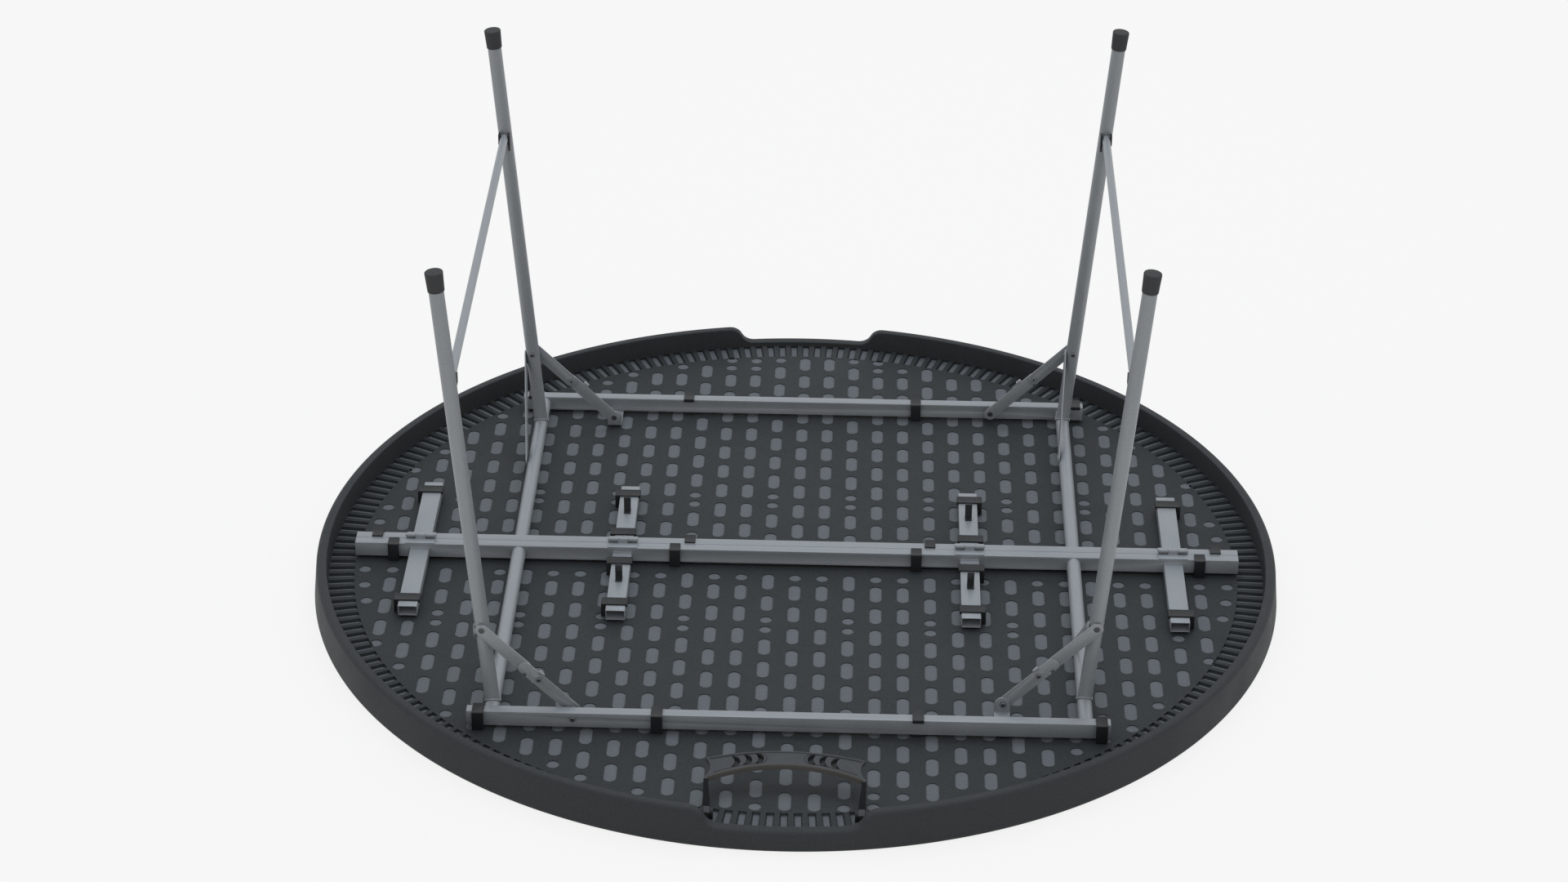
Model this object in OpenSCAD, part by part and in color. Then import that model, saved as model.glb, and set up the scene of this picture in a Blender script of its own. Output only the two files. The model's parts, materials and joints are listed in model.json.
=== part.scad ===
// Round table that folds in half, lying on its top with its four legs up.
// Origin: centre of the tabletop face. +X along the fold line, +Y to the back half, +Z to the feet.

/* [Tabletop] */
// Radius of the round top
top_r = 762; // [740:1:800]
// Height of the rim above the tabletop face
rim_h = 60.5; // [60:0.5:64]
// Width of the rim
rim_w = 16.5; // [14:0.5:20]
// Distance by which the rim stands out further near its foot
rim_flare = 4.4; // [2:0.1:6]
// Radius of the rim's outer edges
rim_round = 7; // [4:0.5:8]
// Thickness of the tabletop face
face_t = 3; // [2:0.5:5]
// Depth of the hollow between the face and the deck
hollow_h = 21.8; // [18:0.1:24]
// Thickness of the pale sheet under the deck
sheet_t = 1.5; // [1:0.25:2.5]
// Thickness of the dark deck skin
deck_t = 1.2; // [1:0.1:2]
// Thickness of the wall that closes each half along the fold line
seam_wall = 4; // [3:0.5:6]
// Gap between the two halves along the fold line
seam_gap = 0.4; // [0.3:0.1:1]

/* [Hand notches] */
// Width of the notch floor
notch_w = 184; // [150:1:200]
// Width of one curved notch shoulder
shoulder_w = 44; // [38:1:54]
// Height of the notch floor above the tabletop face
notch_z = 33; // [30:0.5:36]

/* [Deck pattern] */
// Width of a pocket
pocket_w = 19; // [12:0.5:24]
// Length of a pocket
pocket_l = 46.5; // [36:0.5:52]
// Distance between pocket columns
column_pitch = 42.75; // [38:0.25:48]
// Distance between pockets along a column
row_pitch = 64.2; // [58:0.2:72]
// Number of columns on each side of the middle one
side_columns = 15; // [12:1:15]
// Distance from the rim to the arc of round pockets at the ends of the deck
end_pocket_inset = 58.5; // [54:0.5:62]
// Distance from the fold line to the first of these end pockets
end_pocket_y = 51; // [40:1:60]
// Distance between these end pockets
end_pocket_pitch = 47.5; // [40:0.5:56]
// Number of slots around one half
slot_count = 111; // [72:1:120]
// Width of a slot
slot_w = 12.5; // [8:0.5:14]
// Length of a slot
slot_l = 40.5; // [30:0.5:44]
// Depth of a slot below the deck surface
slot_depth = 4.7; // [2:0.1:6]

/* [Rails] */
// Width of the rectangular rails
rail_w = 17; // [15:0.5:20]
// Height of the rectangular rails
rail_h = 23.7; // [22:0.1:24]
// Wall of the rails and channels
rail_wall = 1.2; // [1:0.1:2]
// Height of the rails above the deck
rail_lift = 4.7; // [4:0.1:5]
// Reach of an outer rail past the cross tubes
rail_overhang = 35.5; // [30:0.5:45]
// Gap between the end of a centre rail and the rim
center_rail_gap = 41; // [34:1:60]
// Distance from the rim to an outer rail's inner face, along the middle
rail_inset = 263.5; // [250:0.5:275]

/* [Channels] */
// Width of a channel
channel_w = 30; // [26:0.5:34]
// Height of a channel
channel_h = 17; // [14:0.5:19]
// Length of a channel
channel_l = 177.2; // [160:0.2:200]
// Height of the channels above the deck
channel_lift = 3.7; // [3:0.1:5]
// Distance from the rim to an outer channel, along the fold line
outer_channel_inset = 144.5; // [130:0.5:155]
// Distance from the rim to an inner channel, along the fold line
inner_channel_inset = 468.5; // [455:0.5:480]

/* [Clips] */
// Width of a clip
clip_w = 17; // [12:0.5:22]
// Thickness of a clip over its rail
clip_t = 3; // [2:0.25:3.5]
// Thickness of a clip's standing leg
clip_leg = 7.7; // [5:0.1:9]
// Reach of a clip's lip over the far side of an outer rail
clip_lip = 3; // [2:0.25:4]
// Width of a channel clip along the channel
channel_clip_w = 20; // [14:0.5:26]

/* [Latch hooks] */
// Width of a latch hook
latch_w = 11; // [8:0.5:14]
// Height of a latch hook above its channel
latch_h = 27; // [24:0.5:32]
// Distance from the fold line to a back latch hook
back_latch_y = 112.5; // [108:0.5:130]
// Distance from the fold line to a front latch hook
front_latch_y = 100.5; // [86:0.5:102]

/* [Hinges] */
// Width of a hinge
hinge_w = 46.5; // [36:0.5:60]
// Width of the middle knuckle
knuckle_w = 16; // [10:0.5:20]
// Diameter of a knuckle
knuckle_d = 6.5; // [5.5:0.1:6.6]
// Diameter of a hinge pin
hinge_pin_d = 3.5; // [2.5:0.1:4]
// Thickness of a hinge leaf
leaf_t = 1.5; // [1:0.1:1.8]

/* [Legs] */
// Diameter of the legs and cross tubes
tube_d = 22; // [19:0.5:24]
// Wall of the legs and cross tubes
tube_wall = 1.2; // [1:0.1:2]
// Distance from the rim to a cross tube, along the fold line
leg_inset = 303; // [290:0.5:310]
// Lean of the legs away from the middle, in degrees
lean = 5; // [3:0.5:7]
// Height of the table
table_h = 761; // [730:1:765]
// Distance from an outer rail to the nearer leg
near_leg_gap = 27.4; // [26.5:0.1:30]
// Distance between the two legs that fold side by side
leg_stagger = 40.2; // [39:0.1:44]
// Diameter of the plugs that turn in the rails
plug_d = 16; // [12:0.5:17]

/* [Foot caps] */
// Height of a foot cap
cap_h = 30; // [20:1:40]
// Diameter of a foot cap at its mouth
cap_mouth_d = 24.4; // [24.4:0.1:26]
// Diameter of a foot cap at the floor
cap_foot_d = 26.6; // [25:0.1:26.8]
// Thickness of a foot cap's floor
cap_floor = 5; // [3:0.5:8]

/* [Gussets] */
// Width of a gusset strip
gusset_w = 20; // [14:0.5:24]
// Thickness of a gusset strip
gusset_t = 2; // [1.5:0.1:2.3]
// Height of a gusset's upper end along the leg
gusset_rise = 128; // [110:1:140]
// Distance from the leg to a gusset's lower end
gusset_run = 139; // [120:1:150]

/* [Braces] */
// Width of a brace link
link_w = 20; // [16:0.5:22]
// Thickness of a brace link
link_t = 2; // [1.5:0.1:2.2]
// Distance along the leg to the brace rivet
brace_rise = 135; // [128:1:142]
// Distance from a cross tube to a brace's foot pivot
brace_run = 122.5; // [118:0.5:127]
// Height of a brace's foot pivot above the middle of the rails
brace_foot_rise = 2; // [0:0.5:2]
// Diameter of the rivets
rivet_d = 5; // [4:0.25:6]
// Diameter of the rivet heads
rivet_head_d = 8.5; // [7.5:0.25:10]
// Height of the rivet heads
rivet_head_t = 2; // [1:0.1:2.2]
// Thickness of a brace bracket
bracket_t = 2; // [1.5:0.1:2.5]
// Width of a brace bracket's flange
bracket_w = 24; // [20:1:28]

/* [Stretchers] */
// Diameter of a stretcher
stretcher_d = 12.7; // [10:0.1:14]
// Height of the stretchers above the tabletop face
stretcher_z = 578; // [540:1:600]
// Gap between a stretcher and the front leg that its hook bridges
stretcher_end_gap = 8; // [8:0.5:12]
// Thickness of the stretcher's clips and hooks
holder_t = 3; // [2:0.25:3.5]

/* [Handle] */
// Width of the handle
handle_w = 234; // [210:1:240]
// Thickness of the handle
handle_t = 9; // [7:0.5:10]
// Width of a handle arm at its pivot
arm_foot_w = 10.8; // [9:0.2:12]
// Width of a handle arm at the grip
arm_tip_w = 3.8; // [3:0.2:6]
// Distance from the pivot to the grip's near edge at the arms
grip_near = 58; // [52:1:64]
// Distance from the pivot to the grip's far edge at the arms
grip_far = 92; // [86:1:98]
// Bow of the grip's near edge
near_bow = 25; // [20:1:30]
// Bow of the grip's far edge
far_bow = 15; // [12:1:20]
// Depth of the scoop in each end of the grip
end_scoop = 8; // [4:0.5:10]
// Radius of a crescent vent
vent_r = 9.5; // [7:0.5:10]
// Distance between the crescent vents
vent_pitch = 17; // [15:0.5:20]
// Distance from the rim to the handle's pivot
handle_setback = 28.5; // [24:0.5:32]
// Height of the handle's pivot above the deck
handle_pivot_rise = 9; // [8:0.5:10]
// Tilt of the handle above the deck, in degrees
handle_tilt = 20; // [14:1:24]
// Diameter of the handle's pins
handle_pin_d = 4; // [3:0.5:5]

/* [Clearances] */
// Gap between pieces that slide or turn past each other
run_gap = 0.3; // [0.2:0.05:0.5]
// Gap between pieces that are welded or pressed together
seat_gap = 0.05; // [0.02:0.01:0.1]

/* [Hidden] */
$fn = 96;

// Colours
STEEL = "#8a9097";
SHELL = "#3b3f42";
SHEET = "#60656a";
BLACK = "#232527";

// Half signs and leg descriptions: [side in X, half in Y, true where the leg is the far one]
BACK = 1;
FRONT = -1;
BL = [-1, BACK, true];
BR = [1, BACK, false];
FL = [-1, FRONT, false];
FR = [1, FRONT, true];

// Heights
deck_z = face_t + hollow_h;
deck_top = deck_z + deck_t;
rail_z = deck_top + rail_lift;
rail_top = rail_z + rail_h;
pivot_z = rail_z + rail_h / 2;
channel_z = deck_top + channel_lift;
hinge_z = rim_h;

// Top
inner_r = top_r - rim_w;
outer_r = top_r + rim_flare;
// Deck left between a slot and the rim
slot_edge = 1.5;
// Deck left between a pocket and the ring of slots
pocket_edge = 4;
// Places of the two round holes of a split pocket, and of the pair of holes in each third column
split_pocket = [-18, 10];
pair_offset = 14.5;
// Steps of a round edge of the rim, and of each arc beside the notch
arc_steps = 8;
slot_r = inner_r - slot_edge - slot_l;
slot_ring_r = slot_r - 2;
pattern_r = slot_ring_r + 3;
// The S curve ends above the rim's top, so that it crosses it
shoulder_over = 0.3;
shoulder_h = rim_h - notch_z + shoulder_over;
shoulder_r = (pow(shoulder_w, 2) + pow(shoulder_h, 2)) / (4 * shoulder_h);

// Frame
center_rail_y = run_gap;
center_rail_l = 2 * (inner_r - center_rail_gap);
rail_face_y = inner_r - rail_inset;
leg_x = inner_r - leg_inset;
rail_end = leg_x + rail_overhang;
outer_x = inner_r - outer_channel_inset;
inner_x = inner_r - inner_channel_inset;
channel_y = center_rail_y + rail_w;
near_leg_y = rail_face_y - near_leg_gap;
far_leg_y = near_leg_y - leg_stagger;
// Places of the clips, off the ends of the rails and off the channels
rail_clip_x = [17 - rail_end, 82 - inner_x, rail_end - 13];
rail_inner_clip_x = inner_x - 84;
front_center_clip_x = [-outer_x - 42, 84 - inner_x, inner_x - 85, outer_x + 42];
back_center_clip_x = [-outer_x - 70, 107 - inner_x, inner_x - 63, outer_x + 68];
latch_t = 4;
latch_foot = 16;
latch_beak = 6;
channel_clip_far = channel_l - 25;
channel_clip_near = 28;
hinge_x = [-outer_x, -inner_x, inner_x, outer_x];

// Legs: the leg's own frame has its origin at the pivot and its third axis along the leg
tube_r = tube_d / 2;
leg_l = (table_h - pivot_z - cap_foot_d / 2 * sin(lean)) / cos(lean);

// Braces: the two links lie in one line when the leg stands and side by side when it is folded
leg_rivet = [leg_x + brace_rise * sin(lean), pivot_z + brace_rise * cos(lean)];
folded_rivet = [leg_x - brace_rise, pivot_z];
brace_foot = [leg_x - brace_run, pivot_z + brace_foot_rise];
brace_l = norm(leg_rivet - brace_foot);
fold_offset = brace_foot - folded_rivet;
lower_l = (pow(brace_l, 2) - pow(norm(fold_offset), 2)) / (2 * (brace_l - fold_offset[0]));
upper_l = brace_l - lower_l;
brace_angle = atan2(leg_rivet[1] - brace_foot[1], leg_rivet[0] - brace_foot[0]);
link_standoff = 2.6;
// Tab that stops the upper link, and its distance from the knee
stop_tab = [9, 5];
stop_tab_back = 28;
// Notch in the lower link's edge, and its distance from the knee
link_notch = [6, 5];
link_notch_back = 11;
// Place of the lower link's middle rivet, as a share of the link
mid_rivet = 0.72;

// Stretchers
stretcher_r = stretcher_d / 2;
stretcher_x = leg_x + (stretcher_z - pivot_z) * tan(lean);

// Handle
handle_y = -(inner_r - handle_setback);
handle_z = deck_top + handle_pivot_rise;
cheek_t = 4;
cheek_w = 12;
far_r = arc_radius(handle_w / 2, far_bow);
near_r = arc_radius(handle_w / 2 - arm_tip_w, near_bow);
first_vent = 41;
scoop_r = arc_radius((grip_far - grip_near) / 2, end_scoop);

function leg_y(leg) = leg[2] ? far_leg_y : near_leg_y;
function arc_radius(half_chord, bow) = (pow(half_chord, 2) + pow(bow, 2)) / (2 * bow);
function legs_plane(leg) = leg_y(leg) + tube_r + link_standoff;
function arc_points(centre, radius, from, to, first = 0) =
    [for (i = [first:arc_steps]) let (a = from + (to - from) * i / arc_steps)
        centre + radius * [cos(a), sin(a)]];
function arc_height(foot, bow, radius, x) = foot + bow - radius + sqrt(pow(radius, 2) - pow(x, 2));

// ---------- shared shapes ----------

// Draws its children on the back half, or mirrored on the front half
module on_half(half) {
    mirror([0, half < 0 ? 1 : 0, 0]) children();
}

// Draws its children, made for the back right leg, at another leg
module at_leg(leg) {
    mirror([leg[0] < 0 ? 1 : 0, 0, 0]) on_half(leg[1]) children();
}

// Moves its children into a leg's own frame
module leg_frame() {
    translate([leg_x, 0, pivot_z]) rotate([0, lean, 0]) children();
}

// Extrudes a drawing in X and Z along Y
module along_y(y, length) {
    translate([0, y + length, 0]) rotate([90, 0, 0]) linear_extrude(length) children();
}

// Extrudes a drawing in Y and Z along X
module along_x(x, length) {
    translate([x, 0, 0]) rotate([90, 0, 90]) linear_extrude(length) children();
}

// Strip with round ends from the origin along +X
module strip(length, width) {
    circle(d = width);
    translate([length, 0]) circle(d = width);
    translate([0, -width / 2]) square([length, width]);
}

module box_tube(size, wall) {
    difference() {
        square(size);
        translate([wall, wall]) square([size[0] - 2 * wall, size[1] - 2 * wall]);
    }
}

module half_plane(y) {
    translate([-outer_r, y]) square([2 * outer_r, outer_r]);
}

// ---------- tabletop ----------

// Hand notch in the rim, with an S curve of two arcs on each side
module notch() {
    low = [notch_w / 2, notch_z + shoulder_r];
    high = [notch_w / 2 + shoulder_w, notch_z + shoulder_h - shoulder_r];
    bend = asin(shoulder_w / 2 / shoulder_r);
    side = concat(arc_points(low, shoulder_r, -90, bend - 90), arc_points(high, shoulder_r, bend + 90, 90, 1),
        [[high[0], notch_z + shoulder_h + 1]]);
    polygon(concat(side, [for (i = [len(side) - 1:-1:0]) [-side[i][0], side[i][1]]]));
}

// Face and rim; the rim's outer side leans in towards its top and runs into two round edges
module rim_profile() {
    low = [outer_r - rim_round, rim_round];
    high = [top_r - rim_round, rim_h - rim_round];
    slope = atan2(low[0] - high[0], high[1] - low[1]);
    square([inner_r, face_t]);
    polygon(concat([[inner_r, 0]], arc_points(low, rim_round, -90, slope),
        arc_points(high, rim_round, slope, 90), [[inner_r, rim_h]]));
}

module half_top(half) {
    color(SHELL) on_half(half) {
        difference() {
            rotate_extrude(angle = 180, $fn = 180) rim_profile();
            translate([-outer_r - 1, -1, -1]) cube([2 * outer_r + 2, 1 + seam_gap / 2, rim_h + 2]);
            along_y(inner_r - 20, outer_r - inner_r + 22) notch();
        }
        translate([-inner_r, seam_gap / 2, face_t]) cube([2 * inner_r, seam_wall, hollow_h]);
    }
}

// Pale sheet that closes the pockets and, one step lower, the slots
module half_sheet(half) {
    slot_floor_z = deck_top - slot_depth;
    color(SHEET) on_half(half) difference() {
        rotate_extrude(angle = 180, $fn = 180) {
            translate([0, deck_z - sheet_t]) square([slot_ring_r, sheet_t]);
            translate([slot_ring_r - sheet_t, slot_floor_z - sheet_t])
                square([sheet_t, deck_z - slot_floor_z + sheet_t]);
            translate([slot_ring_r - sheet_t, slot_floor_z - sheet_t])
                square([inner_r - run_gap - slot_ring_r + sheet_t, sheet_t]);
        }
        translate([-top_r, -1, 0]) cube([2 * top_r, 1 + seam_gap / 2 + seam_wall + seat_gap, rim_h]);
    }
}

// A pocket of the deck, or two round holes where it would run into the slots
// joined makes one pocket of the two holes
module pocket(x, y, joined) {
    edge = pattern_r - pocket_edge;
    tip = y + pocket_l / 2;
    straight = pocket_l - pocket_w;
    if (norm([x, tip]) <= edge) {
        translate([x, y - straight / 2]) rotate(90) strip(straight, pocket_w);
    } else {
        for (dy = split_pocket)
            if (norm([x, y + dy]) <= edge - 3) translate([x, y + dy]) circle(d = pocket_w);
        if (joined) translate([x - pocket_w / 2, y + split_pocket[0]])
            square([pocket_w, split_pocket[1] - split_pocket[0]]);
    }
}

module pocket_column(column, joined) {
    x = column * column_pitch;
    third = (column + 3 * side_columns) % 3 == 2;
    for (row = [0:10]) {
        y = (third ? row_pitch : 1.5 * row_pitch) + row * row_pitch;
        if (norm([x, y + split_pocket[0]]) <= pattern_r) {
            if (third && row == 2) {
                for (dy = [-1, 1]) translate([x, y + dy * pair_offset]) circle(d = pocket_w);
            } else {
                pocket(x, y, joined);
            }
        }
    }
    if (!third) translate([x, 0.8 * row_pitch]) circle(d = pocket_w);
}

module end_pockets() {
    for (side = [-1, 1], i = [0:2]) {
        y = end_pocket_y + i * end_pocket_pitch;
        translate([side * sqrt(pow(inner_r - end_pocket_inset, 2) - pow(y, 2)), y]) circle(d = pocket_w);
    }
}

module slots() {
    pitch = 180 / slot_count;
    for (i = [0:slot_count - 1])
        rotate((i + 0.5) * pitch) translate([slot_r, -slot_w / 2]) square([slot_l, slot_w]);
}

module half_deck(half) {
    color(SHELL) on_half(half) translate([0, 0, deck_z]) linear_extrude(deck_t) difference() {
        intersection() {
            circle(inner_r - run_gap, $fn = 180);
            half_plane(seam_gap / 2);
        }
        for (column = [-side_columns:side_columns])
            pocket_column(column, half == FRONT && (column == -3 || column == -2));
        end_pockets();
        slots();
    }
}

// ---------- frame ----------

module half_rail(half, y, length) {
    color(STEEL) on_half(half) difference() {
        translate([0, y, rail_z]) along_x(-length / 2, length) box_tube([rail_w, rail_h], rail_wall);
        children();
    }
}

module plug_bores(y) {
    for (side = [-1, 1])
        translate([side * leg_x, y, pivot_z]) rotate([-90, 0, 0])
            cylinder(d = plug_d + run_gap, h = rail_wall + 2);
}

module half_outer_rail(half) {
    near_side = half == BACK ? 1 : -1;
    half_rail(half, rail_face_y, 2 * rail_end) {
        plug_bores(rail_face_y - 1);
        translate([near_side * brace_foot[0], rail_face_y - 1, brace_foot[1]]) rotate([-90, 0, 0])
            cylinder(d = rivet_d + run_gap, h = rail_w + 2);
    }
}

module half_center_rail(half) {
    half_rail(half, center_rail_y, center_rail_l) plug_bores(channel_y - rail_wall - 1);
}

module half_channels(half) {
    color(STEEL) on_half(half)
        for (x = hinge_x)
            translate([x - channel_w / 2, 0, channel_z])
                along_y(channel_y + seat_gap, channel_l) box_tube([channel_w, channel_h], rail_wall);
}

// Section of a clip round a rail that spans 0 to width; the leg stands on the +X side of the drawing
module clip_section(width, height, lift, leg, lip) {
    top = lift + height;
    end = width + run_gap + leg;
    difference() {
        union() {
            square([end, lift]);
            translate([width + run_gap, 0]) square([leg, top + clip_t]);
            translate([-lip, top]) square([lip + end, clip_t]);
            if (lip > 0) translate([-lip, top - clip_t]) square([lip - run_gap, 2 * clip_t]);
        }
        for (x = [-lip, end])
            translate([x, top + clip_t]) rotate(45) square(1.5, center = true);
    }
}

module rail_clip(x, lip) {
    translate([0, 0, deck_top]) along_x(x - clip_w / 2, clip_w)
        clip_section(rail_w, rail_h, rail_lift, clip_leg, lip);
}

module half_rail_clips(half) {
    color(BLACK) on_half(half) {
        for (x = rail_clip_x) translate([0, rail_face_y, 0]) rail_clip(x, clip_lip);
        translate([0, rail_face_y + rail_w, 0]) mirror([0, 1, 0]) rail_clip(rail_inner_clip_x, clip_lip);
    }
}

module half_center_clips(half) {
    color(BLACK) on_half(half)
        for (x = half == BACK ? back_center_clip_x : front_center_clip_x)
            translate([0, center_rail_y, 0]) rail_clip(x, -1.5);
}

module channel_clip(x, y) {
    translate([x - channel_w / 2, 0, deck_top])
        along_y(channel_y + y - channel_clip_w / 2, channel_clip_w)
            clip_section(channel_w, channel_h, channel_lift, clip_leg, clip_lip);
}

module half_channel_clips(half) {
    color(BLACK) on_half(half) for (side = [0, 1]) mirror([side, 0, 0]) {
        channel_clip(outer_x, channel_clip_far);
        channel_clip(inner_x, channel_clip_far);
        channel_clip(inner_x, channel_clip_near);
    }
}

// Hook that catches its opposite number when the halves lie on each other
module latch_hook(x, y) {
    translate([0, 0, channel_z + channel_h]) along_x(x - latch_w / 2, latch_w) {
        translate([y - latch_foot / 2, 0]) square([latch_foot, latch_t / 2]);
        translate([y - latch_t / 2, 0]) square([latch_t, latch_h]);
        polygon([[y, latch_h], [y, latch_h - 3 * latch_t], [y + latch_beak, latch_h - 2.4 * latch_t],
                 [y + latch_t / 2, latch_h]]);
    }
}

module half_latch_hooks(half) {
    y = half == BACK ? back_latch_y : front_latch_y;
    color(BLACK) on_half(half)
        for (side = [-1, 1]) latch_hook(side * inner_x, y);
}

module brace_bracket(leg) {
    flange_y = legs_plane(leg) + 2 * link_t + 2 * run_gap;
    edge = brace_foot[0] - bracket_w / 2 - 1;
    color(STEEL) at_leg(leg) {
        difference() {
            along_y(flange_y, bracket_t) {
                translate([edge, rail_z - 1]) square([bracket_w, brace_foot[1] - rail_z + 1]);
                translate([edge + bracket_w / 2, brace_foot[1]]) circle(d = bracket_w);
            }
            translate([brace_foot[0], flange_y - 1, brace_foot[1]]) rotate([-90, 0, 0])
                cylinder(d = rivet_d + run_gap, h = bracket_t + 2);
        }
        translate([edge, flange_y, rail_z - 1])
            cube([bracket_w, rail_face_y - seat_gap - flange_y, bracket_t]);
    }
}

// ---------- hinges ----------

module hinge_leaf(half, x) {
    sides = half == BACK ? [-1, 1] : [0];
    side_w = (hinge_w - knuckle_w) / 2;
    reach = knuckle_d / 2 + run_gap;
    width = half == BACK ? side_w : knuckle_w - 2 * run_gap;
    offset_x = (knuckle_w + side_w) / 2;
    difference() {
        union() {
            translate([x - hinge_w / 2, reach, rail_top])
                cube([hinge_w, center_rail_y + rail_w - reach, leaf_t]);
            for (side = sides) {
                translate([x + side * offset_x - width / 2, 0, rail_top]) cube([width, reach, leaf_t]);
                translate([x + side * offset_x - width / 2, 0, rail_top])
                    cube([width, knuckle_d / 2, hinge_z - rail_top]);
                translate([x + side * offset_x - width / 2, 0, hinge_z]) rotate([0, 90, 0])
                    cylinder(d = knuckle_d, h = width);
            }
        }
        translate([x - hinge_w, 0, hinge_z]) rotate([0, 90, 0])
            cylinder(d = hinge_pin_d + run_gap, h = 2 * hinge_w);
    }
}

module half_hinge_leaves(half) {
    color(STEEL) on_half(half)
        for (x = hinge_x) hinge_leaf(half, x);
}

module hinge_pins() {
    color(STEEL)
        for (x = hinge_x)
            translate([x - hinge_w / 2 - 1, 0, hinge_z]) rotate([0, 90, 0])
                cylinder(d = hinge_pin_d, h = hinge_w + 2);
}

// ---------- legs ----------

module leg_tube(leg) {
    color(STEEL) at_leg(leg) leg_frame() difference() {
        translate([0, leg_y(leg), 0]) cylinder(d = tube_d, h = leg_l - cap_floor);
        translate([0, leg_y(leg), -1]) cylinder(d = tube_d - 2 * tube_wall, h = leg_l);
        rotate([-90, 0, 0]) cylinder(d = tube_d + 2 * seat_gap, h = top_r);
        translate([0, 0, brace_rise]) rotate([-90, 0, 0]) cylinder(d = rivet_d + run_gap, h = top_r);
    }
}

// Tube along Y with an end plug in each end; the plugs' stubs turn in the rails
module cross_tube(leg) {
    tube_y = channel_y + run_gap;
    tube_l = rail_face_y - channel_y - 2 * run_gap;
    stub = run_gap + rail_wall + 1;
    seat_l = 20;
    color(STEEL) at_leg(leg) translate([leg_x, tube_y, pivot_z]) rotate([-90, 0, 0]) {
        difference() {
            cylinder(d = tube_d, h = tube_l);
            translate([0, 0, -1]) cylinder(d = tube_d - 2 * tube_wall, h = tube_l + 2);
        }
        for (end = [0, 1])
            translate([0, 0, end * tube_l]) mirror([0, 0, end]) {
                translate([0, 0, -stub]) cylinder(d = plug_d, h = stub + 1);
                cylinder(d = tube_d - 2 * tube_wall - 2 * seat_gap, h = seat_l);
            }
    }
}

module foot_cap(leg) {
    mouth = leg_l - cap_h;
    color(BLACK) at_leg(leg) leg_frame() translate([0, leg_y(leg), 0]) rotate_extrude() difference() {
        polygon([[0, mouth], [cap_mouth_d / 2, mouth], [cap_foot_d / 2, leg_l - 1],
                 [cap_foot_d / 2 - 1, leg_l], [0, leg_l]]);
        translate([0, mouth - 1]) square([tube_r + seat_gap, cap_h - cap_floor + 1]);
    }
}

// Flat strip from the leg down to the cross tube, on the tubes' outer or inner side
module gusset(leg) {
    side = leg[0] < 0 ? 1 : -1;
    start = [leg_y(leg), gusset_rise];
    end = [leg_y(leg) - gusset_run, tube_r / 2];
    length = norm(end - start);
    angle = atan2(end[1] - start[1], end[0] - start[0]);
    color(STEEL) at_leg(leg) leg_frame() {
        along_x(side > 0 ? tube_r + seat_gap : -tube_r - seat_gap - gusset_t, gusset_t)
            translate(start) rotate(angle) strip(length, gusset_w);
        for (at = [start, end])
            translate([side * (tube_r + seat_gap + gusset_t), at[0], at[1]]) rotate([0, 90, 0])
                cylinder(d = rivet_head_d, h = rivet_head_t, center = true);
    }
}

// Upper link with the rivet that goes through the leg and the head of the knee's rivet
module brace_upper(leg) {
    y = legs_plane(leg);
    head_y = leg_y(leg) - tube_r - run_gap - rivet_head_t;
    knee = leg_rivet - upper_l * [cos(brace_angle), sin(brace_angle)];
    color(STEEL) at_leg(leg) {
        along_y(y, link_t) translate(knee) rotate(brace_angle) strip(upper_l, link_w);
        along_y(head_y, y - head_y) translate(leg_rivet) circle(d = rivet_d);
        along_y(head_y, rivet_head_t) translate(leg_rivet) circle(d = rivet_head_d);
        along_y(y - rivet_head_t, rivet_head_t) translate(knee) circle(d = rivet_head_d);
    }
}

// Lower link with its stop tab, end notch and foot pivot
module brace_lower(leg) {
    y = legs_plane(leg) + link_t + run_gap;
    pin_end = leg[2] ? y + link_t + run_gap + bracket_t : rail_face_y + rail_w;
    spacer = leg[2] ? 0 : rail_face_y - run_gap - y - link_t;
    color(STEEL) at_leg(leg) {
        along_y(y, link_t) translate(brace_foot) rotate(brace_angle) difference() {
            union() {
                strip(lower_l, link_w);
                translate([lower_l - stop_tab_back, link_w / 2 - 1]) square(stop_tab);
            }
            translate([lower_l - link_notch_back, -link_w / 2 - 1]) square(link_notch);
        }
        along_y(y + link_t, 4) translate(brace_foot) rotate(brace_angle)
            translate([lower_l - stop_tab_back, link_w / 2 + 2]) square([stop_tab[0], 2]);
        along_y(y + link_t, rivet_head_t) translate(brace_foot) rotate(brace_angle)
            translate([mid_rivet * lower_l, 0]) circle(d = rivet_head_d);
        along_y(y, pin_end + 1 - y) translate(brace_foot) circle(d = rivet_d);
        along_y(pin_end + run_gap, rivet_head_t) translate(brace_foot) circle(d = rivet_head_d);
        if (spacer > 0) along_y(y, link_t + spacer) translate(brace_foot) circle(d = 2 * rivet_d);
    }
}

// ---------- stretchers ----------

// Rod along Y with two round ends, from the back leg to just short of the front leg
module stretcher(side) {
    back_end = leg_y(side < 0 ? BL : BR) - tube_r - run_gap;
    front_end = -(leg_y(side < 0 ? FL : FR) - tube_r) + stretcher_end_gap;
    length = back_end - front_end - 2 * stretcher_r;
    color(STEEL) translate([side * stretcher_x, front_end + stretcher_r, stretcher_z]) {
        rotate([-90, 0, 0]) cylinder(r = stretcher_r, h = length);
        sphere(stretcher_r);
        translate([0, length, 0]) sphere(stretcher_r);
    }
}

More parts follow.
